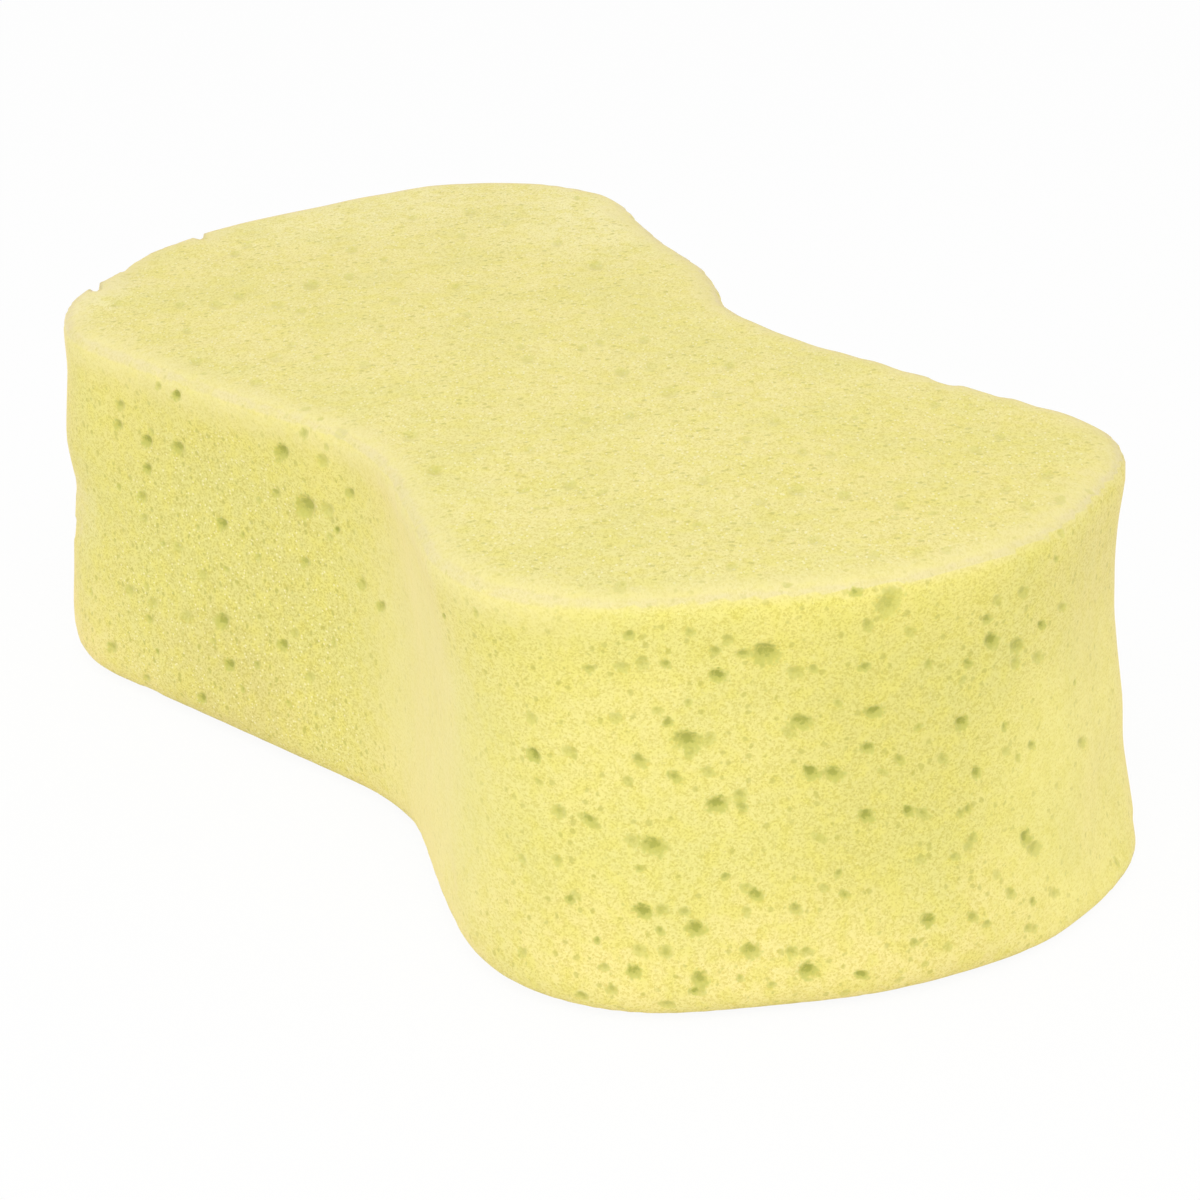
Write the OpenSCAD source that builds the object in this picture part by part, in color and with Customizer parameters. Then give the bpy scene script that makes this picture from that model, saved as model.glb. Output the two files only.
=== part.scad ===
// Cleaning sponge: one block of soft open-cell foam whose outline is a loose figure eight.
// X runs along its length, Y across it and Z up; the origin is under the middle of the base.

/* [Overall size] */
// Length from end to end
sponge_l = 220; // [205:1:235]
// Height from the base to the top face
sponge_h = 61; // [50:1:72]

/* [Right lobe] */
// Distance from the right end to the centre of the front corner
right_front_inset = 41; // [39:1:44]
// Distance from the middle line to the front edge
right_front_reach = 56; // [54:1:59]
// Radius of the front corner
right_front_r = 31; // [28:1:33]
// Distance from the right end to the centre of the back corner
right_back_inset = 36; // [34:1:40]
// Distance from the middle line to the back edge
right_back_reach = 49; // [47:1:53]
// Radius of the back corner
right_back_r = 25; // [22:1:28]
// Radius of the bulging right end
right_end_r = 50; // [42:1:60]

/* [Left lobe] */
// Distance from the left end to the centre of the front corner
left_front_inset = 45; // [40:1:48]
// Distance from the middle line to the front edge
left_front_reach = 59; // [56:1:62]
// Radius of the front corner
left_front_r = 28; // [25:1:31]
// Distance from the left end to the centre of the back corner
left_back_inset = 31; // [31:1:36]
// Distance from the middle line to the back edge
left_back_reach = 59; // [56:1:62]
// Radius of the back corner
left_back_r = 31; // [27:1:31]
// Radius of the bulging left end
left_end_r = 50; // [42:1:60]

/* [Waist] */
// Distance of the front hollow to the right of the middle
front_waist_shift = 16; // [10:1:20]
// Distance from the middle line to the bottom of the front hollow
front_waist_reach = 43; // [39:1:46]
// Radius of the front hollow
front_waist_r = 52; // [40:1:60]
// Distance of the back hollow to the right of the middle
back_waist_shift = 9; // [0:1:15]
// Distance from the middle line to the bottom of the back hollow
back_waist_reach = 38; // [36:1:42]
// Radius of the back hollow
back_waist_r = 68; // [50:1:80]

/* [Wall] */
// Radius of the soft edge round the top
top_edge_r = 3; // [2:0.5:5]
// Radius of the soft edge round the base
base_edge_r = 5; // [3:0.5:7]
// How far the wall sinks in between the two edges
wall_sink = 2.4; // [1:0.2:3.4]
// Height of the deepest part of the wall as a share of the whole height
wall_sink_level = 0.66; // [0.5:0.02:0.7]

/* [Open pores] */
// Number of pores in the wall
wall_pores = 60; // [20:4:100]
// Number of pores in the top face, and again in the base
face_pores = 20; // [8:2:40]
// Radius of the smallest pore
pore_min_r = 0.9; // [0.7:0.1:1.1]
// Radius of the largest pore
pore_max_r = 2.1; // [1.6:0.1:2.6]

/* [Hidden] */

// Turn between two neighbouring uprights of a round, and facets of a whole turn on a pore
upright_turn = 5;
pore_facets = 14;

// Steps of the wall's section: along each soft edge and between the two
edge_steps = 3;
wall_steps = 8;

half_l = sponge_l / 2;

// The largest end radius that still runs smoothly into a corner
limit_slack = 0.97;
function end_limit(inset, reach, r) =
    let (y = reach - r)
    inset - r < 1 ? sponge_l : limit_slack * (inset * inset - r * r + y * y) / (2 * (inset - r));

right_r = min(
    right_end_r,
    end_limit(right_front_inset, right_front_reach, right_front_r),
    end_limit(right_back_inset, right_back_reach, right_back_r)
);
left_r = min(
    left_end_r,
    end_limit(left_front_inset, left_front_reach, left_front_r),
    end_limit(left_back_inset, left_back_reach, left_back_r)
);

// The eight rounds of the outline, anticlockwise from the right end:
// centre x, centre y, radius, and 1 where the outline bulges or -1 where it is hollow
rounds = [
    [half_l - right_r, 0, right_r, 1],
    [half_l - right_back_inset, right_back_reach - right_back_r, right_back_r, 1],
    [back_waist_shift, back_waist_reach + back_waist_r, back_waist_r, -1],
    [left_back_inset - half_l, left_back_reach - left_back_r, left_back_r, 1],
    [left_r - half_l, 0, left_r, 1],
    [left_front_inset - half_l, left_front_r - left_front_reach, left_front_r, 1],
    [front_waist_shift, -front_waist_reach - front_waist_r, front_waist_r, -1],
    [half_l - right_front_inset, right_front_r - right_front_reach, right_front_r, 1]
];
count = len(rounds);

function centre(i) = [rounds[i].x, rounds[i].y];
function signed_r(i) = rounds[i][2] * rounds[i][3];
function following(i) = (i + 1) % count;
function facing(angle) = [cos(angle), sin(angle)];

// Direction, outward from the foam, of the straight that joins round i to the next one
function leave_angle(i) =
    let (step = centre(following(i)) - centre(i))
    atan2(step.y, step.x) - acos((signed_r(i) - signed_r(following(i))) / norm(step));
leave = [for (i = [0:count - 1]) leave_angle(i)];
function arrive(i) = leave[(i + count - 1) % count];

// Turn from one direction to another, the short way round
function turn(from, to) = to - from - 360 * floor((to - from + 180) / 360);

// A point of a round, and where the outline leaves and reaches that round
function round_point(i, angle, depth = 0) = centre(i) + (signed_r(i) - depth) * facing(angle);
function leave_point(i) = round_point(i, leave[i]);
function arrive_point(i) = round_point(i, arrive(i));

// Outward directions of the uprights that stand on a round, its two ends included
function upright_angles(i) =
    let (swing = turn(arrive(i), leave[i]), steps = ceil(abs(swing) / upright_turn))
    [for (k = [0:steps]) arrive(i) + swing * k / steps];

// Foot and outward direction of every upright, anticlockwise round the outline
uprights = [for (i = [0:count - 1]) for (angle = upright_angles(i)) [round_point(i, angle), facing(angle)]];

// The wall's section
sink_power = ln(0.5) / ln(wall_sink_level);
function sink(z) = wall_sink * sin(180 * pow(z / sponge_h, sink_power));
raw_section = concat(
    [for (k = [0:edge_steps - 1])
        let (a = 90 * k / edge_steps, z = base_edge_r * (1 - cos(a)))
        [base_edge_r * (1 - sin(a)) + sink(z), z]],
    [for (k = [0:wall_steps])
        let (z = base_edge_r + (sponge_h - base_edge_r - top_edge_r) * k / wall_steps)
        [sink(z), z]],
    [for (k = [1:edge_steps])
        let (a = 90 * k / edge_steps, z = sponge_h - top_edge_r * (1 - sin(a)))
        [top_edge_r * (1 - cos(a)) + sink(z), z]]
);
// Moved out so that its widest place stands on the outline
widest = min([for (p = raw_section) p.x]);
section = [for (p = raw_section) [p.x - widest, p.y]];

// Length of each stretch of the outline, rounds and straights in turn
stretches = [for (i = [0:count - 1]) each [
    abs(turn(arrive(i), leave[i])) * PI / 180 * rounds[i][2],
    norm(arrive_point(following(i)) - leave_point(i))
]];
function run_to(k) = k == 0 ? 0 : stretches[k - 1] + run_to(k - 1);
runs = [for (k = [0:len(stretches)]) run_to(k)];
around = runs[len(stretches)];

// The outward direction and the point of the outline after a given run along it
function stretch_at(run) = [for (k = [0:len(stretches) - 1]) if (runs[k] <= run && run < runs[k + 1]) k][0];
function outward_at(run) =
    let (k = stretch_at(run), i = floor(k / 2), share = (run - runs[k]) / stretches[k])
    k % 2 == 0 ? arrive(i) + share * turn(arrive(i), leave[i]) : leave[i];
function point_at(run) =
    let (k = stretch_at(run), i = floor(k / 2), share = (run - runs[k]) / stretches[k])
    k % 2 == 0
        ? round_point(i, outward_at(run))
        : leave_point(i) + share * (arrive_point(following(i)) - leave_point(i));

// An open pore is a ball that dips into the surface: its radius and the height of its centre
// above the surface, for a mouth of radius 1
ball_share = 1.2;
lift_share = sqrt(ball_share * ball_share - 1);

// Most pores are small and a few are large
size_power = 2;
function pore_r(u) = pore_min_r + (pore_max_r - pore_min_r) * pow(u, size_power);

// Even spread of a numbered pore, so that no two of them run into each other
golden = (sqrt(5) - 1) / 2;
function spread(k, start) = (start + k * golden) % 1;
pore_margin = 3;
seed_sizes = 11;
top_start = 0.1;
base_start = 0.6;
wall_start = 0.3;

// The section carried round the outline, with a flat top and base
module plain_block() {
    n = len(uprights);
    top = len(section) - 1;
    polyhedron(
        points = [for (p = section) for (u = uprights) [each u[0] - p.x * u[1], p.y]],
        faces = concat(
            [[for (k = [0:n - 1]) k]],
            [for (level = [0:top - 1]) for (k = [0:n - 1])
                let (low = level * n, high = low + n, next = (k + 1) % n)
                [low + k, high + k, high + next, low + next]],
            [[for (k = [n - 1:-1:0]) top * n + k]]
        )
    );
}

module pore(r) {
    translate([0, 0, r * lift_share])
        sphere(r * ball_share, $fn = pore_facets);
}

module wall_pore_cuts() {
    sizes = rands(0, 1, wall_pores, seed_sizes);
    low = base_edge_r + pore_margin;
    high = sponge_h - top_edge_r - pore_margin;
    for (k = [0:wall_pores - 1]) {
        run = around * (k + 0.5) / wall_pores;
        z = low + (high - low) * spread(k, wall_start);
        at = point_at(run) - (sink(z) - widest) * facing(outward_at(run));
        translate([at.x, at.y, z])
            rotate([0, 90, outward_at(run)])
                pore(pore_r(sizes[k]));
    }
}

module face_pore_cuts(start) {
    sizes = rands(0, 1, face_pores, seed_sizes + start);
    for (k = [0:face_pores - 1]) {
        at = point_at(around * spread(k, start));
        inside = 1 - (top_edge_r + base_edge_r + pore_margin) / norm(at);
        translate(at * inside * sqrt((k + 0.5) / face_pores))
            pore(pore_r(sizes[k]));
    }
}

module foam_block() {
    color("#eee394")
        difference() {
            plain_block();
            wall_pore_cuts();
            translate([0, 0, sponge_h])
                face_pore_cuts(top_start);
            mirror([0, 0, 1])
                face_pore_cuts(base_start);
        }
}

foam_block();
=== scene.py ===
"""Cleaning sponge: the foam block with its open pores, on a plain pale floor."""

import math
import random
from collections import namedtuple

import bmesh
import bpy
import numpy as np
from mathutils import Matrix, Vector, noise
from mathutils.bvhtree import BVHTree
from mathutils.kdtree import KDTree


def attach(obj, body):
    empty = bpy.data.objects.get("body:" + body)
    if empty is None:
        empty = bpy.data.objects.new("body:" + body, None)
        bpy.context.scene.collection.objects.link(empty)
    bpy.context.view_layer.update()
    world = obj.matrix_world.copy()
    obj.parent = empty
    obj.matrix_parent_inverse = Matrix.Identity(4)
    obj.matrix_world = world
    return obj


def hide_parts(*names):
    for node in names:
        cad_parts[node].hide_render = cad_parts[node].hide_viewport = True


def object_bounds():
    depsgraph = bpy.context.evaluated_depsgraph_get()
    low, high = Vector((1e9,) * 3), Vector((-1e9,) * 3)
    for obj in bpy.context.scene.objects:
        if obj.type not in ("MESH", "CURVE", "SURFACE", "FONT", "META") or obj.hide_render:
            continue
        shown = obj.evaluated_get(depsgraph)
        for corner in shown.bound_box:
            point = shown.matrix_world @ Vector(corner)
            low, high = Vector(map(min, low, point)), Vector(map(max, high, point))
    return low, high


MM = 0.001

# The photograph's view: where the camera stands, seen from the middle of the block
VIEW_AZIMUTH = 60.45
VIEW_ELEVATION = 22.23
VIEW_ROLL = -2.95
VIEW_DISTANCE = 514.2 * MM
VIEW_ASIDE = -5.82 * MM
VIEW_RISE = 9.47 * MM
LENS_MM = 95.4
SENSOR_MM = 36.0
NEAREST_SEEN = 10 * MM
FRAME_PX = 1200

# The block's mesh: gap over which loose triangles join, and size and smoothing of the even faces
JOIN_GAP = 0.002 * MM
VOXEL = 1.75 * MM
RELAX_PASSES = 2
# How far the base and the top lean apart, and how far the top rises
LEAN = 2.8 * MM
SWELL = 0.35 * MM

# Pores in view: pixel of the photograph, and radius in millimetres. Deep ones have greener painted shade
# inside.
DEEP_PORES = [
    (688, 741, 1.65), (766, 654, 1.75), (718, 676, 1.1), (654, 846, 1.5), (696, 929, 1.3), (801, 722, 1.3),
    (717, 805, 1.3), (533, 755, 1.1), (811, 773, 1.1), (834, 774, 1.2), (874, 712, 1.1), (868, 748, 0.9),
    (867, 816, 1.1), (590, 821, 1.0), (756, 895, 1.0), (751, 951, 1.3), (808, 971, 1.3), (700, 980, 1.2),
    (634, 972, 1.0), (643, 912, 1.2), (862, 975, 0.9), (929, 921, 1.1), (909, 811, 0.9), (962, 723, 1.1),
    (992, 641, 1.3), (1042, 625, 0.7), (1026, 837, 1.1), (977, 773, 0.9), (856, 592, 0.8),
    (305, 507, 1.7), (222, 524, 1.1), (222, 621, 1.3), (282, 452, 1.2), (178, 448, 1.1), (147, 441, 0.9),
    (147, 469, 0.9), (283, 645, 0.8), (229, 665, 1.1), (176, 395, 0.9), (202, 698, 0.8), (337, 530, 0.6),
    (312, 285, 1.3), (384, 260, 0.6), (577, 198, 0.5), (596, 266, 1.1), (622, 372, 1.1), (435, 470, 1.0),
    (444, 616, 0.35),
]
SHALLOW_PORES = [
    (888, 606, 1.7), (893, 594, 1.2),
    (531, 718, 0.9), (559, 812, 1.0), (643, 664, 0.9), (622, 667, 0.9), (666, 664, 0.7), (588, 669, 0.7),
    (715, 651, 0.8), (743, 654, 0.8), (796, 672, 1.0), (865, 667, 0.8), (959, 722, 0.7), (616, 718, 0.9),
    (658, 711, 0.7), (668, 723, 0.8), (640, 761, 1.0), (675, 777, 0.9), (709, 772, 0.9), (628, 781, 0.7),
    (570, 752, 0.9), (538, 782, 0.6), (740, 795, 0.9), (742, 807, 0.8), (632, 841, 0.9), (522, 859, 0.8),
    (557, 860, 0.8), (575, 895, 0.7), (662, 910, 0.9), (685, 912, 0.7), (796, 910, 0.8), (845, 895, 0.7),
    (791, 952, 0.8), (807, 952, 0.8), (701, 992, 0.7), (640, 951, 1.0), (666, 952, 0.9), (604, 967, 0.7),
    (612, 990, 0.8), (582, 996, 0.9), (973, 917, 0.9), (922, 812, 0.7), (943, 759, 0.8), (900, 760, 0.8),
    (820, 838, 0.8), (824, 888, 0.7), (740, 979, 0.6), (1017, 646, 1.0), (1015, 663, 0.9), (1038, 657, 0.8),
    (1082, 742, 0.7), (1062, 607, 0.7), (926, 817, 0.7), (968, 809, 0.7), (1034, 848, 1.1), (921, 860, 0.8),
    (955, 857, 0.7), (968, 847, 0.7), (997, 875, 0.8), (1011, 893, 0.9), (987, 924, 0.7), (1055, 893, 0.7),
    (1035, 928, 0.7), (1032, 745, 0.6), (968, 663, 0.8), (987, 619, 0.8), (997, 600, 0.8), (1023, 592, 0.8),
    (1018, 758, 0.6), (1033, 902, 0.7), (868, 625, 0.9), (910, 632, 0.8), (728, 640, 0.8), (690, 632, 0.7),
    (120, 405, 0.8), (118, 425, 0.8), (142, 497, 1.0), (144, 518, 0.7), (130, 590, 0.8), (153, 603, 0.8),
    (187, 617, 0.9), (257, 665, 0.6), (112, 647, 0.9), (147, 678, 0.7), (289, 704, 0.7), (295, 633, 0.7),
    (381, 606, 0.9), (362, 584, 0.9), (305, 562, 0.9), (178, 547, 0.8), (323, 460, 1.0), (303, 434, 0.8),
    (341, 433, 0.9), (203, 575, 0.8), (328, 510, 1.0), (350, 493, 0.9), (410, 436, 1.0), (258, 557, 0.7),
    (310, 677, 0.7), (276, 493, 0.8), (158, 386, 0.7), (216, 305, 1.0), (239, 296, 0.8), (180, 305, 0.8),
    (278, 305, 0.9), (117, 304, 0.9), (235, 254, 0.8), (247, 245, 0.9), (352, 250, 0.9), (349, 277, 0.8),
    (470, 212, 0.9), (413, 218, 0.7), (462, 236, 0.7), (558, 243, 0.9), (301, 311, 0.9), (467, 315, 0.7),
    (187, 331, 0.8), (276, 358, 0.9), (292, 345, 0.8), (196, 362, 0.8), (365, 365, 0.8), (256, 383, 0.8),
    (317, 358, 0.8), (600, 343, 0.8), (583, 348, 0.7), (650, 367, 0.9), (528, 359, 0.9), (521, 347, 0.7),
    (585, 420, 0.8), (436, 471, 0.9), (530, 450, 0.7), (380, 329, 0.8), (630, 416, 0.7), (395, 301, 0.8),
    (456, 287, 0.7), (506, 223, 0.7), (670, 392, 1.1), (717, 394, 0.9), (730, 366, 0.8), (644, 340, 0.8),
    (797, 490, 1.0), (845, 496, 0.9), (760, 501, 0.8), (899, 506, 0.8), (814, 540, 0.8), (874, 555, 0.8),
    (917, 552, 0.7), (947, 550, 0.7), (1006, 490, 0.7), (1047, 475, 0.8), (1060, 500, 0.8),
    (1025, 506, 0.8),
    (975, 450, 0.8), (830, 454, 0.7), (802, 452, 0.7), (705, 480, 0.8), (747, 440, 0.7), (570, 485, 0.9),
    (620, 587, 0.8), (732, 567, 0.7), (935, 405, 0.7), (1000, 437, 0.8), (775, 422, 0.7), (582, 492, 0.7),
]

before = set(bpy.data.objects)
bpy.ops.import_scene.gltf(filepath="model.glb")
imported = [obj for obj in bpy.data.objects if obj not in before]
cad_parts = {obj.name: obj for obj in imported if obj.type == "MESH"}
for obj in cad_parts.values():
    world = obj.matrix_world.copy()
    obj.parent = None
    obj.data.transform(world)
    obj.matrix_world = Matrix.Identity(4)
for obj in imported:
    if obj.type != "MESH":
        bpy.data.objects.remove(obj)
cad_low, cad_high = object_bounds()
middle = (Vector(cad_low) + Vector(cad_high)) / 2


def colour(text):
    """Linear colour of an sRGB hex value."""
    parts = [int(text[i:i + 2], 16) / 255 for i in (1, 3, 5)]
    linear = [c / 12.92 if c <= 0.04045 else ((c + 0.055) / 1.055) ** 2.4 for c in parts]
    return (*linear, 1.0)


def add_camera():
    """The photograph's camera, aimed a little past the middle of the block."""
    azimuth, elevation, roll = (math.radians(a) for a in (VIEW_AZIMUTH, VIEW_ELEVATION, VIEW_ROLL))
    back = Vector((
        math.sin(azimuth) * math.cos(elevation),
        -math.cos(azimuth) * math.cos(elevation),
        math.sin(elevation),
    ))
    level = Vector((math.cos(azimuth), math.sin(azimuth), 0))
    upright = back.cross(level)
    right = level * math.cos(roll) + upright * math.sin(roll)
    up = upright * math.cos(roll) - level * math.sin(roll)
    place = middle - right * VIEW_ASIDE - up * VIEW_RISE + back * VIEW_DISTANCE
    lens = bpy.data.cameras.new("camera")
    lens.lens = LENS_MM
    lens.sensor_width = SENSOR_MM
    lens.clip_start = NEAREST_SEEN
    camera = bpy.data.objects.new("camera", lens)
    camera.matrix_world = Matrix.Translation(place) @ Matrix((right, up, back)).transposed().to_4x4()
    bpy.context.scene.collection.objects.link(camera)
    bpy.context.scene.camera = camera
    return camera


def sight_line(camera, x, y):
    """Start and direction of the line of sight through a pixel of the photograph."""
    focal_px = LENS_MM / SENSOR_MM * FRAME_PX
    turn = camera.matrix_world.to_3x3()
    aim = turn @ Vector(((x - FRAME_PX / 2) / focal_px, (FRAME_PX / 2 - y) / focal_px, -1))
    return camera.matrix_world.translation, aim.normalized()


def add_object(name, mesh):
    made = bpy.data.objects.new(name, mesh)
    bpy.context.scene.collection.objects.link(made)
    return made


def even_surface():
    """The solid's own surface with its loose triangles joined and redrawn as even faces."""
    joined = bmesh.new()
    joined.from_mesh(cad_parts["foam_block"].data)
    bmesh.ops.remove_doubles(joined, verts=joined.verts, dist=JOIN_GAP)
    source = bpy.data.meshes.new("foam_source")
    joined.to_mesh(source)
    joined.free()
    block = add_object("foam_source", source)
    remesh = block.modifiers.new("even faces", "REMESH")
    remesh.mode = "VOXEL"
    remesh.voxel_size = VOXEL
    remesh.adaptivity = 0
    ready = bpy.context.evaluated_depsgraph_get()
    even = bpy.data.meshes.new_from_object(block.evaluated_get(ready))
    bpy.data.objects.remove(block)
    return even


def soft_step(t):
    t = min(max(t, 0), 1)
    return t * t * (3 - 2 * t)


def relax(shape, passes):
    """Takes the steps of the redrawn faces out of the surface."""
    for _ in range(passes):
        bmesh.ops.smooth_vert(
            shape, verts=shape.verts, factor=0.5,
            use_axis_x=True, use_axis_y=True, use_axis_z=True,
        )


# Places where the soft block departs from its even form: centre, reach and push, in millimetres
SAGS = [
    ((-78, -52, 61), (50, 32, 23), (2.1, 3.6, 0)),
    ((-84, -46, 61), (16, 20, 12), (-0.4, -0.8, 0.5)),
    ((-68, -57, 30), (26, 26, 11), (0.5, 0.9, 0)),
    ((-86, -50, 6), (30, 30, 20), (-0.5, -0.8, 0)),
    ((-66, -57, 6), (44, 26, 18), (-0.2, -0.4, 0)),
    ((-104, 24, 61), (34, 50, 40), (-1.9, 0.5, 0)),
    ((-84, 54, 61), (30, 26, 30), (0.2, 0.9, 0)),
    ((-30, 44, 44), (26, 24, 40), (1.4, 2.4, 0)),
    ((-8, 40, 61), (13, 14, 20), (-0.3, -0.7, 0)),
    ((20, 42, 60), (30, 20, 30), (0, 0.8, 0)),
    ((66, 50, 60), (40, 22, 30), (-0.3, 1.2, 0)),
    ((97, 36, 14), (24, 24, 12), (-0.9, -1.1, 0)),
    ((97, 36, 0), (20, 20, 6), (2.2, 2.4, 0)),
    ((102, 18, 0), (22, 24, 7), (2.0, 0.2, 0)),
    ((96, -34, 0), (36, 30, 16), (0.8, -0.2, 0)),
    ((50, -56, 10), (22, 20, 26), (-0.2, -0.5, 0)),
]
# Small nicks in the edges that stand against the background: pixel of the photograph, then reach
# and depth in millimetres
NICKS = [
    (95, 286, 0.8, 1.2), (199, 237, 1.0, 0.8), (130, 268, 2.0, 0.25), (638, 224, 2.2, 0.2),
    (944, 386, 2.4, 0.25), (1001, 404, 2.0, 0.2), (70, 484, 1.4, 0.15), (73, 527, 1.8, 0.3),
    (152, 690, 2.0, 0.15),
]
# How far a nick runs along the line of sight, and how far past its reach the faces are divided
NICK_RUN = 7 * MM
NICK_MARGIN = 1.3
# Slow waves and small ripples of the faces; the waves are shallower by this share on top and base
WAVE_SIZE = 34 * MM
WAVE_DEPTH = 0.5 * MM
WAVE_FLATTER = 0.6
RIPPLE_SIZE = 9 * MM
RIPPLE_DEPTH = 0.16 * MM
# Height over which both begin, so that the base rests flat
WAVE_START = 4 * MM


def settle(shape):
    """Leans and sags the block a little and gives its faces the slow waves of cut foam."""
    height = cad_high[2] - cad_low[2]
    for v in shape.verts:
        place = v.co.copy()
        share = (place.z - cad_low[2]) / height
        push = Vector((LEAN * (0.5 - share), 0, SWELL * share))
        for centre, reach, amount in SAGS:
            away = math.sqrt(sum(((place[k] / MM - centre[k]) / reach[k]) ** 2 for k in range(3)))
            push += Vector(amount) * MM * soft_step(1 - away)
        upward = abs(v.normal.z)
        wave = noise.noise(place / WAVE_SIZE) * WAVE_DEPTH * (1 - WAVE_FLATTER * upward)
        ripple = noise.noise(place / RIPPLE_SIZE) * RIPPLE_DEPTH
        base_share = soft_step((v.co.z - cad_low[2]) / WAVE_START)
        push += v.normal * (wave + ripple) * base_share
        v.co = place + push


def along_and_beside(places, start, aim):
    """How far each place lies along a line of sight, and how far beside it."""
    steps = places - np.array(start)
    return steps @ np.array(aim), np.linalg.norm(np.cross(steps, np.array(aim)), axis=1)


def nick_edges(shape, camera):
    """Tears small nicks out of the edges that the photograph shows against its background."""
    shape.normal_update()
    shape.verts.ensure_lookup_table()
    places = np.array([v.co for v in shape.verts])
    cuts = []
    near = set()
    for x, y, reach, depth in NICKS:
        start, aim = sight_line(camera, x, y)
        ahead, aside = along_and_beside(places, start, aim)
        nearest = int(aside.argmin())
        run = ahead[nearest]
        reach = reach * MM + aside[nearest]
        push = in_surface(shape.verts[nearest].normal, aim) * depth * MM
        cuts.append((start, aim, run, reach, push))
        for index in np.flatnonzero((aside < NICK_MARGIN * reach) & (abs(ahead - run) < NICK_RUN)):
            near.update(shape.verts[index].link_edges)
    bmesh.ops.subdivide_edges(shape, edges=list(near), cuts=2, use_grid_fill=True)
    bmesh.ops.triangulate(shape, faces=[f for f in shape.faces if len(f.verts) > 4])
    shape.verts.ensure_lookup_table()
    places = np.array([v.co for v in shape.verts])
    for start, aim, run, reach, push in cuts:
        ahead, aside = along_and_beside(places, start, aim)
        for index in np.flatnonzero((aside < reach) & (abs(ahead - run) < NICK_RUN)):
            # Whole within half of its reach and of its run, and gone at their ends
            beside = soft_step(2 - 2 * aside[index] / reach)
            along = soft_step(2 - 2 * abs(ahead[index] - run) / NICK_RUN)
            shape.verts[index].co -= push * (beside * along)


# The smooth, pale hollow of the front, where no small pores are placed: centre in millimetres, and reach
SMOOTH_HOLLOW = (42, -52, 26)
SMOOTH_HOLLOW_REACH = 40 * MM
# Pores in places of chance: on the sides that the photograph hides, and small ones on those it shows
HIDDEN_PORES = {
    "count": 240, "smallest": 0.7 * MM, "largest": 1.8 * MM, "apart": 1.5 * MM,
    "seed": 5, "deep_share": 0.3,
}
SMALL_PORES = {
    "count": 120, "smallest": 0.5 * MM, "largest": 0.75 * MM, "apart": 0.8 * MM,
    "seed": 8, "deep_share": 0.1,
}
# The hidden ones lie where the surface faces the camera less than this, the small ones where more
HIDDEN_FACING = -0.15
SMALL_FACING = 0.35
# Places tried for each pore, and a power that makes large pores rarer than small ones
TRIES = 4
SIZE_POWER = 2
# Most pores of the photograph are drawn out from its upper left to its lower right, with some chance
SEEN_SEED = 3
DRAWN_OUT = (1, -0.55, 0)
DRAWN_CHANCE = 0.5
# Strength of deep and of shallow pores, and how much longer a pore is than wide
DEEP = (0.85, 1.0)
SHALLOW = (0.5, 0.82)
STRETCH = (1.0, 1.6)
# A surface that faces the camera less than this is seen aslant: its pores are longer along the line
# of sight, by this power of how far it faces the camera, and wider
ASLANT = 0.6
ASLANT_LEAST = 0.25
ASLANT_POWER = -0.7
WIDER = 1.2
# Faces within each of these reaches of a pore, in radii, are divided in turn
REFINED = (1.5, 1.2)
# Depth of a pore, where its wall ends and how wide its wall is, in radii
PORE_DEPTH = 0.55
PORE_MOUTH = 1.15
PORE_WALL = 0.8
# How far its painted shade reaches, and the distance given to what lies in no pore, in radii
PORE_REACH = 2.2
FAR = 9.0
# How much fainter a pore of the top face is than one of the wall
TOP_FAINTER = 0.48
# The top edge's crest lies between these tilts of the surface
CREST_LOW = 0.5
CREST_HIGH = 0.85
# How far from the crest its band of painted highlight reaches, on the top side and down the front,
# and the distance, in reaches, at which it is gone
RIM_REACH = 5.5 * MM
WALL_RIM_REACH = 6.0 * MM
RIM_END = 1.2
# Tilt from which the top side's band begins, and over which it comes in
RIM_TILT = 0.25
RIM_TILT_RANGE = 0.4
# The front's band begins where the surface faces the front by this much, and is whole at the second
FRONT_TURN = 0.4
FRONT_WHOLE = 0.9

# A pore: its stretch is how much longer it is in the direction along than across it
Pore = namedtuple("Pore", "centre outward radius strength along stretch")


def in_surface(direction, outward):
    """The unit direction square to outward that is nearest to a given one."""
    return (direction - outward * direction.dot(outward)).normalized()


def random_direction(rng):
    return Vector([rng.uniform(-1, 1) for _ in range(3)])


def scattered(shape, allowed, count, smallest, largest, apart, seed, deep_share):
    """Pores spread over the surface with a gap between them."""
    rng = random.Random(seed)
    faces = list(shape.faces)
    found = []
    for _ in range(count * TRIES):
        face = faces[rng.randrange(len(faces))]
        radius = smallest * (largest / smallest) ** (rng.random() ** SIZE_POWER)
        strength = rng.uniform(*(DEEP if rng.random() < deep_share else SHALLOW))
        along = in_surface(random_direction(rng), face.normal)
        stretch = rng.uniform(*STRETCH)
        centre = face.calc_center_median()
        if len(found) < count and allowed(centre, face.normal):
            if all((centre - other.centre).length > apart + radius + other.radius for other in found):
                found.append(Pore(centre, face.normal.copy(), radius, strength, along, stretch))
    return found


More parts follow.
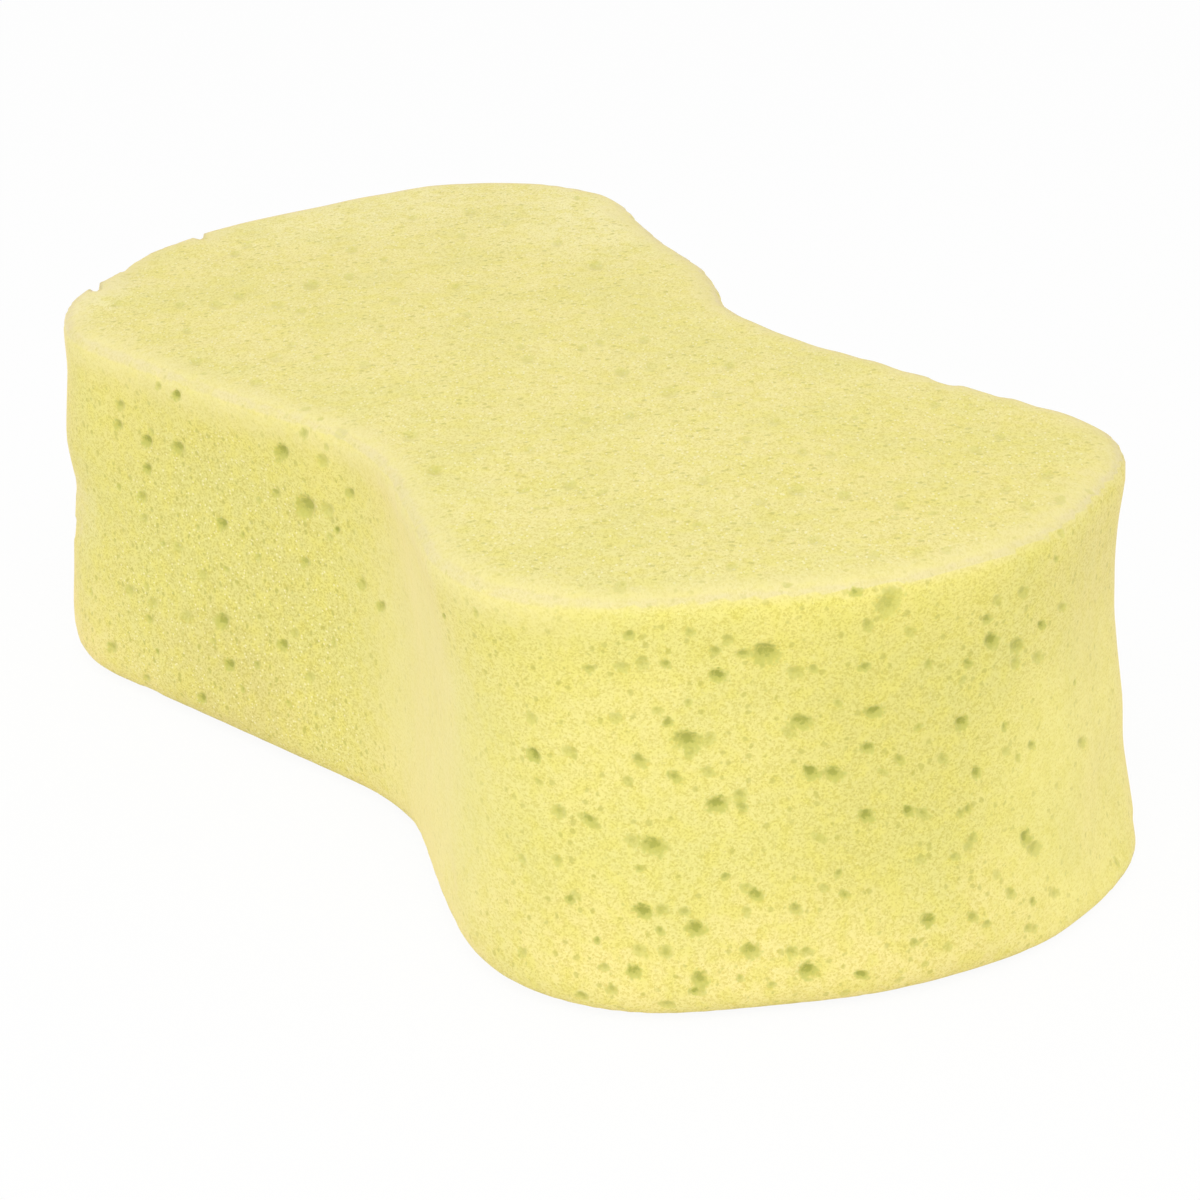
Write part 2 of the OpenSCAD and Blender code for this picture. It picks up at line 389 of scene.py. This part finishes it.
def pores_of(shape, camera):
    """The pores of the photograph where it shows them, and like ones on the sides that it hides."""
    shape.normal_update()
    tree = BVHTree.FromBMesh(shape)
    eye = camera.matrix_world.translation
    rng = random.Random(SEEN_SEED)
    diagonal = camera.matrix_world.to_3x3() @ Vector(DRAWN_OUT)
    smooth_zone = Vector(SMOOTH_HOLLOW) * MM

    def facing(centre, normal):
        return normal.dot((eye - centre).normalized())

    def unseen(centre, normal):
        return facing(centre, normal) < HIDDEN_FACING

    def seen_and_outside_hollow(centre, normal):
        return facing(centre, normal) > SMALL_FACING and (centre - smooth_zone).length > SMOOTH_HOLLOW_REACH

    seen = []
    for deep, places in ((True, DEEP_PORES), (False, SHALLOW_PORES)):
        for x, y, radius in places:
            start, aim = sight_line(camera, x, y)
            place, normal, _, _ = tree.ray_cast(start, aim)
            strength = rng.uniform(*(DEEP if deep else SHALLOW))
            along = in_surface(diagonal + DRAWN_CHANCE * random_direction(rng), normal)
            stretch = rng.uniform(*STRETCH)
            radius = radius * MM * stretch ** -0.5
            square = facing(place, normal)
            if square < ASLANT:
                along = in_surface(aim, normal)
                stretch = max(square, ASLANT_LEAST) ** ASLANT_POWER
                radius *= WIDER
            seen.append(Pore(place, normal, radius, strength, along, stretch))
    hidden = scattered(shape, unseen, **HIDDEN_PORES)
    small = scattered(shape, seen_and_outside_hollow, **SMALL_PORES)
    return seen + hidden + small


def refine(shape, pores):
    """Smaller faces where a pore opens."""
    for reach in REFINED:
        near = set()
        tree = BVHTree.FromBMesh(shape)
        shape.faces.ensure_lookup_table()
        for pore in pores:
            for _, _, index, _ in tree.find_nearest_range(pore.centre, pore.radius * pore.stretch * reach):
                near.update(shape.faces[index].edges)
        bmesh.ops.subdivide_edges(shape, edges=list(near), cuts=1, use_grid_fill=True)
        bmesh.ops.triangulate(shape, faces=[f for f in shape.faces if len(f.verts) > 4])


def open_pores(shape, pores):
    """Sinks each pore.

    Returns, for every vertex, its step from the middle of its pore and the length of that step, both
    in radii, and how strongly it takes the pore's painted shade.
    """
    shape.verts.ensure_lookup_table()
    shape.normal_update()
    tree = KDTree(len(shape.verts))
    for v in shape.verts:
        tree.insert(v.co, v.index)
    tree.balance()
    steps = np.full((len(shape.verts), 3), FAR, np.float32)
    strengths = np.zeros(len(shape.verts), np.float32)
    nearest = np.full(len(shape.verts), FAR, np.float32)
    for pore in pores:
        fainter = 1 - TOP_FAINTER * abs(pore.outward.z)
        for place, index, _ in tree.find_range(pore.centre, pore.radius * pore.stretch * PORE_REACH):
            step = (place - pore.centre) / pore.radius
            step -= pore.along * step.dot(pore.along) * (1 - 1 / pore.stretch)
            away = step.length
            if away < min(nearest[index], PORE_REACH):
                nearest[index] = away
                steps[index] = step
                strengths[index] = pore.strength * fainter
            sunk = soft_step((PORE_MOUTH - away) / PORE_WALL) * pore.strength * fainter
            shape.verts[index].co -= pore.outward * sunk * pore.radius * PORE_DEPTH
    return steps, nearest, strengths


def rim_of(shape):
    """How near every vertex lies to the soft edge round the top, from 0 to 1."""
    crest = [v for v in shape.verts if v.co.z > middle.z and CREST_LOW < v.normal.z < CREST_HIGH]
    tree = KDTree(len(crest))
    for index, v in enumerate(crest):
        tree.insert(v.co, index)
    tree.balance()
    rim = np.zeros(len(shape.verts), np.float32)
    for v in shape.verts:
        if v.co.z > middle.z:
            away = tree.find(v.co)[2]
            tilted = soft_step((v.normal.z - RIM_TILT) / RIM_TILT_RANGE)
            turned = soft_step((-v.normal.y - FRONT_TURN) / (FRONT_WHOLE - FRONT_TURN))
            upper = soft_step(RIM_END - away / RIM_REACH) * tilted
            front = soft_step(RIM_END - away / WALL_RIM_REACH) * turned
            rim[v.index] = max(upper, front)
    return rim


def add_foam(camera):
    """The sponge's one piece: the softened block, its pores, and what its material reads from them."""
    mesh = even_surface()
    shape = bmesh.new()
    shape.from_mesh(mesh)
    relax(shape, RELAX_PASSES)
    shape.normal_update()
    settle(shape)
    nick_edges(shape, camera)
    pores = pores_of(shape, camera)
    refine(shape, pores)
    shape.verts.index_update()
    shape.normal_update()
    rim = rim_of(shape)
    steps, distances, strengths = open_pores(shape, pores)
    for face in shape.faces:
        face.smooth = True
    shape.normal_update()
    shape.to_mesh(mesh)
    shape.free()
    mesh.name = "sponge_foam"
    mesh.attributes.new("pore", "FLOAT", "POINT").data.foreach_set("value", strengths)
    mesh.attributes.new("pore_away", "FLOAT", "POINT").data.foreach_set("value", distances)
    mesh.attributes.new("pore_step", "FLOAT_VECTOR", "POINT").data.foreach_set("vector", steps.ravel())
    mesh.attributes.new("rim", "FLOAT", "POINT").data.foreach_set("value", rim)
    mesh.materials.clear()
    mesh.materials.append(foam_material())
    foam = add_object("sponge_foam", mesh)
    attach(foam, "root")
    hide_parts("foam_block")


def node(tree, kind, links=(), **settings):
    """Adds a node: settings are its own properties, and links are what its inputs get.

    Links go by an input's name or number, or in the inputs' order. Each is a value, another node's
    output, or the other node itself, which stands for the first of its outputs in use.
    """
    made = tree.nodes.new(kind)
    for name, value in settings.items():
        setattr(made, name, value)
    pairs = links.items() if isinstance(links, dict) else enumerate(links)
    for name, value in pairs:
        if isinstance(value, bpy.types.Node):
            value = next(output for output in value.outputs if output.enabled)
        if isinstance(value, bpy.types.NodeSocket):
            tree.links.new(value, made.inputs[name])
        else:
            made.inputs[name].default_value = value
    return made


def new_material(name):
    material = bpy.data.materials.new(name)
    material.use_nodes = True
    material.node_tree.nodes.clear()
    return material, material.node_tree


# Sizes of the foam's patterns. The finest cells are about a fifth of a millimetre, as in fine foam,
# which is also the size of a pixel, so they show as grain. The rest are as large as the photograph
# shows them.
GRAIN = 0.16 * MM
CELL = 0.25 * MM
STIPPLE = 0.7 * MM
GLINT = 0.9 * MM
SPECK = 1.4 * MM
SPECK_BEND = 0.6 * SPECK
SPECK_SHIFT = 0.5 * SPECK
MOTTLE = 2.6 * MM
CLOUD = 14 * MM

# The top face is seen at a low angle, yet its grain looks nearly as deep as it is wide. So the fine
# cells are longer along the photograph's line of sight over the floor: turn about Z, and how much
# longer. They are fixed to the foam. How the real cells lie isn't known.
CELL_TURN = math.radians(VIEW_AZIMUTH - 90)
CELL_STRETCH = 2.0

# Colours of the foam, and of the light and shade painted on it
WALL = "#e9df87"
TOP = "#f1e696"
# Painted highlight on the band round the top edge
RIM_HIGHLIGHT = "#f2e6a8"
# Painted light that seeps in from the top face, on the upper wall
SEEPED_LIGHT = "#efe483"
# Painted light at the foot of the wall
FOOT_PAINTED_LIGHT = "#ffeda2"
# Clouds and mottles of the foam
CLOUDED = "#e4de86"
MOTTLED = "#e9df74"
# Painted highlight on the crest of the top edge
EDGE_LINE_HIGHLIGHT = "#e8dab2"
# Painted shade in the pores, darkest on their floors
PORE_SHADE = "#c8c767"
PORE_FLOOR_SHADE = "#aaad50"
# Specks, glints, and the tint of the sheen
SPECKED = "#c0ba5a"
GLINTING = "#fff8c8"
SHEEN = "#ffe6bc"
# Patches, most of them painted light and shade: place and reach in millimetres, colour and share
TONES_AND_PAINTED_LIGHT = [
    # The front's smooth hollow, paler
    (SMOOTH_HOLLOW, 46, "#f6eea3", 0.65),
    # Painted shade in the middle of the near end, and painted light on its right and left parts
    ((107, -12, 34), 26, "#dcd47a", 0.45),
    ((100, 28, 20), 36, "#fbf094", 0.85),
    ((93, -40, 36), 28, "#f5ea96", 0.45),
    # The left front, darker and greener, and darker still towards the bottom
    ((-22, -50, 20), 48, "#d8d282", 0.4),
    ((-23, -50, 4), 24, "#d8cc7e", 0.4),
    # Painted sheen on the left edge of the front
    ((-68, -58, 30), 12, "#f2eab0", 0.4),
    # The right of the top face, yellower
    ((80, 22, 61), 40, "#efe28c", 0.5),
    # Painted light on the far and left edges of the top face, and on its left front corner
    ((-66, 66, 61), 48, "#fbf2b0", 0.65),
    ((-112, 14, 61), 40, "#fbf2b0", 0.55),
    ((-86, -52, 61), 21, "#fbf2c2", 0.6),
]
# A shade is whole within this share of its reach
SHADE_CORE = 0.4
# Three of these parts also set how rough the foam looks there
HOLLOW_PART = 0
RIGHT_END = 2
LEFT_FRONT = 4
# How far the grain lightens or darkens red, green and blue, and how much of it rubbing takes away
GRAIN_LIGHT = (0.08, 0.093, 0.2)
SMOOTHED = 0.6
# Shares of the two noises that make the grain, and of the painted highlight band round the top edge
GRAIN_SHARE = 0.5
RIM_SHARE = 0.55
# How much the left front and the top face count towards glinting
FRONT_GLINTS = 1.5
TOP_GLINTS = 0.42
# How ragged the mouth of a pore is, coarse and fine, and the middle of both
MOUTH_COARSE = 1.5
MOUTH_FINE = 0.5
MOUTH_MIDDLE = 1.0
# Slack of the plain distance from a pore, and how much the painted shade of a pore is darker in its upper
# part, in radii
PORE_SLACK = 0.15
PORE_ROOF = 0.35

# Smooth ramps: the lowest and highest value read, and what these two become. The first ones read
# the patterns, the next the height above the base, and the next how far the surface looks upward.
SPECK_SIZES = (0.25, 1.0, 0.0, 0.42)
SPECK_EDGE = (0.0, 0.2, 0.0, 1.0)
GLINT_EDGE = (0.12, 0.24, 1.0, 0.0)
CLOUD_SHARES = (0.35, 0.7, 0.0, 0.5)
MOTTLE_SHARES = (0.4, 0.7, 0.0, 0.5)
GRAIN_SWING = (0.35, 0.85, 0.6, -1.8)
SEEPED_LIGHT_LEVELS = (42 * MM, 60 * MM, 0.0, 0.85)
FOOT_PAINTED_LIGHT_LEVELS = (4 * MM, 26 * MM, 0.55, 0.0)
TOP_TILTS = (0.55, 0.95, 0.0, 1.0)
LINE_BEGINS = (0.35, 0.55, 0.0, 1.0)
LINE_ENDS = (0.8, 0.95, 1.0, 0.0)
TOP_GRAIN = (0.6, 0.95, 1.0, 0.85)
# These read how near a place is to the top edge, or to the middle of one of the three parts
LINE_SHARES = (0.8, 1.0, 0.0, 0.45)
HOLLOW_SMOOTHING = (0.0, 0.7, 0.0, 1.0)
END_SMOOTHING = (0.0, 0.85, 0.0, 0.6)
FRONT_SPECKS = (0.0, 0.4, 0.52, 0.7)
FRONT_GRAIN = (0.0, 0.4, 1.0, 1.25)
ROUGH_SHARES = (0.0, 0.6, 0.45, 1.0)
GLINT_SHARES = (0.4, 1.0, 0.1, 0.7)
# These read the distance from the middle of a pore, and the last one reads how deep inside it is
MOUTH_TINTS = (0.75, 1.3, 0.9, 0.0)
INSIDE_TINTS = (0.2, 1.0, 1.0, 0.0)
FLOOR_TINTS = (0.35, 1.0, 0.0, 0.8)
SMOOTH = {"interpolation_type": "SMOOTHSTEP"}

# The floor, half its side in metres, how much of the shadow on it shows, and the daylight's strength
PAPER = "#f6f6f5"
FLOOR_HALF = 3.0
FLOOR_SHADOW = 0.07
SKY_LEVEL = 0.72
# Lamps: name, place, size in metres and power in watts
LAMPS = [
    ("key", (0.9, -0.5, 1.3), 1.0, 9.0),
    ("fill", (0.2, -1.5, 0.7), 1.2, 2.3),
]


def foam_patterns(tree, place):
    """The foam's grain, specks, glints, clouds and mottles."""
    # Fine cells, which give the surface its matt grain
    longer = node(tree, "ShaderNodeMapping", {
        "Vector": place, "Rotation": (0, 0, CELL_TURN), "Scale": (CELL_STRETCH, 1, 1),
    }, vector_type="TEXTURE")
    fibres = node(tree, "ShaderNodeTexNoise", {"Vector": longer, "Scale": 1 / GRAIN, "Detail": 1.0})
    walls = node(tree, "ShaderNodeTexVoronoi", {"Vector": longer, "Scale": 1 / CELL, "Randomness": 1.0})
    wall = node(tree, "ShaderNodeSeparateColor", [walls.outputs["Color"]]).outputs["Green"]
    fibre_part = node(tree, "ShaderNodeMath", [fibres, GRAIN_SHARE], operation="MULTIPLY")
    wall_part = node(tree, "ShaderNodeMath", [wall, GRAIN_SHARE], operation="MULTIPLY")
    grain = node(tree, "ShaderNodeMath", [fibre_part, wall_part], operation="ADD")
    # Larger open cells, as faint specks of uneven size and form
    bend = node(tree, "ShaderNodeTexNoise", {"Vector": place, "Scale": 1 / SPECK_BEND, "Detail": 1.0})
    bent = node(tree, "ShaderNodeVectorMath", [
        bend.outputs["Color"], (SPECK_SHIFT, SPECK_SHIFT, SPECK_SHIFT), place,
    ], operation="MULTIPLY_ADD")
    cells = node(tree, "ShaderNodeTexVoronoi", {"Vector": bent, "Scale": 1 / SPECK, "Randomness": 1.0})
    chance = node(tree, "ShaderNodeSeparateColor", [cells.outputs["Color"]]).outputs["Red"]
    size = node(tree, "ShaderNodeMapRange", [chance, *SPECK_SIZES], **SMOOTH)
    within = node(tree, "ShaderNodeMath", [size, cells.outputs["Distance"]], operation="SUBTRACT")
    speck = node(tree, "ShaderNodeMapRange", [within, *SPECK_EDGE], **SMOOTH)
    # Cut cell walls that glint, as tiny pale points
    points = node(tree, "ShaderNodeTexVoronoi", {"Vector": longer, "Scale": 1 / GLINT, "Randomness": 1.0})
    glint = node(tree, "ShaderNodeMapRange", [points.outputs["Distance"], *GLINT_EDGE], **SMOOTH)
    # Slow clouds and smaller mottles of colour from uneven curing
    clouds = node(tree, "ShaderNodeTexNoise", {"Vector": place, "Scale": 1 / CLOUD, "Detail": 2.0})
    mottles = node(tree, "ShaderNodeTexNoise", {"Vector": place, "Scale": 1 / MOTTLE, "Detail": 2.0})
    return grain, speck, glint, clouds, mottles


def pore_shades(tree, place, grain):
    """Painted shade of a pore, on its soft, ragged mouth and on its floor, darkest under its roof."""
    pore = node(tree, "ShaderNodeAttribute", attribute_name="pore").outputs["Fac"]
    step = node(tree, "ShaderNodeAttribute", attribute_name="pore_step").outputs["Vector"]
    distance = node(tree, "ShaderNodeAttribute", attribute_name="pore_away").outputs["Fac"]
    length = node(tree, "ShaderNodeVectorMath", [step], operation="LENGTH")
    # The plain distance keeps the faces between two pores clear
    plain = node(tree, "ShaderNodeMath", [distance, PORE_SLACK], operation="SUBTRACT")
    away = node(tree, "ShaderNodeMath", [length, plain], operation="MAXIMUM")
    stipple = node(tree, "ShaderNodeTexNoise", {"Vector": place, "Scale": 1 / STIPPLE, "Detail": 2.0})
    coarse = node(tree, "ShaderNodeMath", [stipple, MOUTH_COARSE], operation="MULTIPLY")
    fine = node(tree, "ShaderNodeMath", [grain, MOUTH_FINE], operation="MULTIPLY")
    raggedness = node(tree, "ShaderNodeMath", [coarse, fine], operation="ADD")
    uneven = node(tree, "ShaderNodeMath", [raggedness, MOUTH_MIDDLE], operation="SUBTRACT")
    mouth = node(tree, "ShaderNodeMath", [away, uneven], operation="ADD")
    opened = node(tree, "ShaderNodeMapRange", [mouth, *MOUTH_TINTS], **SMOOTH)
    mouth_shade = node(tree, "ShaderNodeMath", [opened, pore], operation="MULTIPLY")
    height = node(tree, "ShaderNodeSeparateXYZ", [step]).outputs["Z"]
    roof = node(tree, "ShaderNodeMath", [height, PORE_ROOF], operation="MULTIPLY")
    inside = node(tree, "ShaderNodeMath", [mouth, roof], operation="SUBTRACT")
    sunken = node(tree, "ShaderNodeMapRange", [inside, *INSIDE_TINTS], **SMOOTH)
    depth = node(tree, "ShaderNodeMath", [sunken, pore], operation="MULTIPLY")
    floor_shade = node(tree, "ShaderNodeMapRange", [depth, *FLOOR_TINTS], **SMOOTH)
    return mouth_shade, floor_shade


def foam_material():
    """Polyurethane foam, open celled: soft, dull and slightly translucent, greener with painted shade where
    a pore opens.
    """
    material, tree = new_material("open_cell_polyurethane_foam")
    coordinates = node(tree, "ShaderNodeTexCoord").outputs
    place = coordinates["Object"]
    upward = node(tree, "ShaderNodeSeparateXYZ", [coordinates["Normal"]]).outputs["Z"]
    level = node(tree, "ShaderNodeSeparateXYZ", [place]).outputs["Z"]
    rim = node(tree, "ShaderNodeAttribute", attribute_name="rim").outputs["Fac"]
    grain, speck, glint, clouds, mottles = foam_patterns(tree, place)
    mouth_shade, floor_shade = pore_shades(tree, place, grain)

    # Painted light: light that seeps in from the top face turns the upper wall a clearer yellow
    seeped_light = node(tree, "ShaderNodeMapRange", [level, *SEEPED_LIGHT_LEVELS], **SMOOTH)
    # Painted light: the foot of the wall paler
    foot_light = node(tree, "ShaderNodeMapRange", [level, *FOOT_PAINTED_LIGHT_LEVELS], **SMOOTH)
    top = node(tree, "ShaderNodeMapRange", [upward, *TOP_TILTS], **SMOOTH)
    # Patches of tone and of painted light and shade, each strongest near its middle
    near = []
    for centre, reach, _, share in TONES_AND_PAINTED_LIGHT:
        away = node(tree, "ShaderNodeVectorMath", [
            place, tuple(x * MM for x in centre),
        ], operation="DISTANCE")
        near.append(node(tree, "ShaderNodeMapRange", [
            away, SHADE_CORE * reach * MM, reach * MM, share, 0.0,
        ], **SMOOTH))
    # Painted highlight: a pale band round the top edge, and a paler, greyer line on its crest
    band = node(tree, "ShaderNodeMath", [rim, RIM_SHARE], operation="MULTIPLY")
    begins = node(tree, "ShaderNodeMapRange", [upward, *LINE_BEGINS], **SMOOTH)
    ends = node(tree, "ShaderNodeMapRange", [upward, *LINE_ENDS], **SMOOTH)
    crest = node(tree, "ShaderNodeMath", [begins, ends], operation="MULTIPLY")
    line_share = node(tree, "ShaderNodeMapRange", [rim, *LINE_SHARES], **SMOOTH)
    line = node(tree, "ShaderNodeMath", [crest, line_share], operation="MULTIPLY")
    # The smooth hollow, the right end and the top edge show less of the patterns than the rest
    hollow_smoothing = node(tree, "ShaderNodeMapRange", [near[HOLLOW_PART], *HOLLOW_SMOOTHING], **SMOOTH)
    end_smoothing = node(tree, "ShaderNodeMapRange", [near[RIGHT_END], *END_SMOOTHING], **SMOOTH)
    edge_smoothing = node(tree, "ShaderNodeMath", [rim, end_smoothing], operation="MAXIMUM")
    smooth_zone = node(tree, "ShaderNodeMath", [hollow_smoothing, edge_smoothing], operation="MAXIMUM")
    lost = node(tree, "ShaderNodeMath", [smooth_zone, SMOOTHED], operation="MULTIPLY")
    strength = node(tree, "ShaderNodeMath", [1.0, lost], operation="SUBTRACT")
    cloudy = node(tree, "ShaderNodeMapRange", [clouds, *CLOUD_SHARES], **SMOOTH)
    cloud = node(tree, "ShaderNodeMath", [strength, cloudy], operation="MULTIPLY")
    mottly = node(tree, "ShaderNodeMapRange", [mottles, *MOTTLE_SHARES], **SMOOTH)
    mottle = node(tree, "ShaderNodeMath", [strength, mottly], operation="MULTIPLY")
    # The colours lie over each other like coats, each with its share
    shade = colour(WALL)
    coats = [(seeped_light, SEEPED_LIGHT), (foot_light, FOOT_PAINTED_LIGHT), (top, TOP)]
    coats += [(share, part[2]) for share, part in zip(near, TONES_AND_PAINTED_LIGHT)]
    coats += [(band, RIM_HIGHLIGHT), (line, EDGE_LINE_HIGHLIGHT), (cloud, CLOUDED), (mottle, MOTTLED)]
    for share, tint in coats:
        shade = node(tree, "ShaderNodeMix", {0: share, 6: shade, 7: colour(tint)}, data_type="RGBA")

    # The front of the left lobe is the roughest part, and the top shows less grain than the wall
    top_grain = node(tree, "ShaderNodeMapRange", [upward, *TOP_GRAIN], **SMOOTH)
    front_grain = node(tree, "ShaderNodeMapRange", [near[LEFT_FRONT], *FRONT_GRAIN], **SMOOTH)
    side_grain = node(tree, "ShaderNodeMath", [top_grain, front_grain], operation="MULTIPLY")
    grain_share = node(tree, "ShaderNodeMath", [strength, side_grain], operation="MULTIPLY")
    grain_light = node(tree, "ShaderNodeMapRange", [grain, *GRAIN_SWING], **SMOOTH)
    swing = node(tree, "ShaderNodeMath", [grain_light, grain_share], operation="MULTIPLY")
    light = node(tree, "ShaderNodeVectorMath", [swing, GRAIN_LIGHT, (1, 1, 1)], operation="MULTIPLY_ADD")
    shade = node(tree, "ShaderNodeVectorMath", [shade, light], operation="MULTIPLY")
    # It glints most there too, and next on the top
    front_glints = node(tree, "ShaderNodeMath", [near[LEFT_FRONT], FRONT_GLINTS], operation="MULTIPLY")
    top_glints = node(tree, "ShaderNodeMath", [upward, TOP_GLINTS], operation="MULTIPLY")
    glinting = node(tree, "ShaderNodeMath", [front_glints, top_glints], operation="MAXIMUM")
    rough = node(tree, "ShaderNodeMapRange", [glinting, *ROUGH_SHARES], **SMOOTH)
    roughness = node(tree, "ShaderNodeMath", [strength, rough], operation="MULTIPLY")
    glint_share = node(tree, "ShaderNodeMapRange", [roughness, *GLINT_SHARES], **SMOOTH)
    glints = node(tree, "ShaderNodeMath", [glint, glint_share], operation="MULTIPLY")
    front_specks = node(tree, "ShaderNodeMapRange", [near[LEFT_FRONT], *FRONT_SPECKS], **SMOOTH)
    speck_share = node(tree, "ShaderNodeMath", [strength, front_specks], operation="MULTIPLY")
    specks = node(tree, "ShaderNodeMath", [speck, speck_share], operation="MULTIPLY")
    coats = [(glints, GLINTING), (specks, SPECKED), (mouth_shade, PORE_SHADE), (floor_shade, PORE_FLOOR_SHADE)]
    for share, tint in coats:
        shade = node(tree, "ShaderNodeMix", {0: share, 6: shade, 7: colour(tint)}, data_type="RGBA")

    foam = node(tree, "ShaderNodeBsdfPrincipled", {
        "Base Color": shade, "Roughness": 0.95, "Specular IOR Level": 0.15,
        "Sheen Weight": 0.5, "Sheen Roughness": 0.4, "Sheen Tint": colour(SHEEN),
        "Subsurface Weight": 0.25, "Subsurface Radius": (1.0, 0.9, 0.35), "Subsurface Scale": 2 * MM,
    })
    node(tree, "ShaderNodeOutputMaterial", {"Surface": foam})
    return material


def seen_share(tree):
    """1 where the camera sees this, also by way of a glossy or a clear surface, and 0 elsewhere."""
    path = node(tree, "ShaderNodeLightPath").outputs
    seen = path["Is Camera Ray"]
    for ray in ("Is Glossy Ray", "Is Transmission Ray"):
        seen = node(tree, "ShaderNodeMath", [seen, path[ray]], operation="MAXIMUM")
    return seen


def paper_material(name, shade):
    """Matt white paper: the camera sees it nearly white, with the object's shadow faint on it."""
    material, tree = new_material(name)
    paper = node(tree, "ShaderNodeBsdfDiffuse", {"Color": colour(shade)})
    white = node(tree, "ShaderNodeEmission", {"Color": (1, 1, 1, 1), "Strength": 1.0})
    share = node(tree, "ShaderNodeMath", [seen_share(tree), 1 - FLOOR_SHADOW], operation="MULTIPLY")
    mixed = node(tree, "ShaderNodeMixShader", [share, paper, white])
    node(tree, "ShaderNodeOutputMaterial", {"Surface": mixed})
    return material


def add_floor():
    shape = bmesh.new()
    bmesh.ops.create_grid(shape, x_segments=1, y_segments=1, size=FLOOR_HALF)
    bmesh.ops.translate(shape, verts=shape.verts, vec=(0, 0, cad_low[2]))
    mesh = bpy.data.meshes.new("floor")
    shape.to_mesh(mesh)
    shape.free()
    mesh.materials.append(paper_material("matt_white_paper", PAPER))
    add_object("floor", mesh)


def add_world():
    """Soft daylight from all round, which the camera sees as white."""
    world = bpy.data.worlds.new("daylight")
    bpy.context.scene.world = world
    world.use_nodes = True
    tree = world.node_tree
    tree.nodes.clear()
    soft = node(tree, "ShaderNodeBackground", {"Color": (1, 1, 1, 1), "Strength": SKY_LEVEL})
    white = node(tree, "ShaderNodeBackground", {"Color": (1, 1, 1, 1), "Strength": 1.0})
    mixed = node(tree, "ShaderNodeMixShader", [seen_share(tree), soft, white])
    node(tree, "ShaderNodeOutputWorld", {"Surface": mixed})


def add_lamp(name, place, size, watts):
    lamp = bpy.data.lights.new(name, "AREA")
    lamp.shape = "DISK"
    lamp.size = size
    lamp.energy = watts
    made = bpy.data.objects.new(name, lamp)
    aim = (middle - Vector(place)).to_track_quat("-Z", "Y")
    made.matrix_world = Matrix.Translation(place) @ aim.to_matrix().to_4x4()
    bpy.context.scene.collection.objects.link(made)


camera = add_camera()
add_world()
add_floor()
for name, place, size, watts in LAMPS:
    add_lamp(name, place, size, watts)
add_foam(camera)
bpy.context.scene.view_settings.view_transform = "Standard"

bpy.context.view_layer.update()
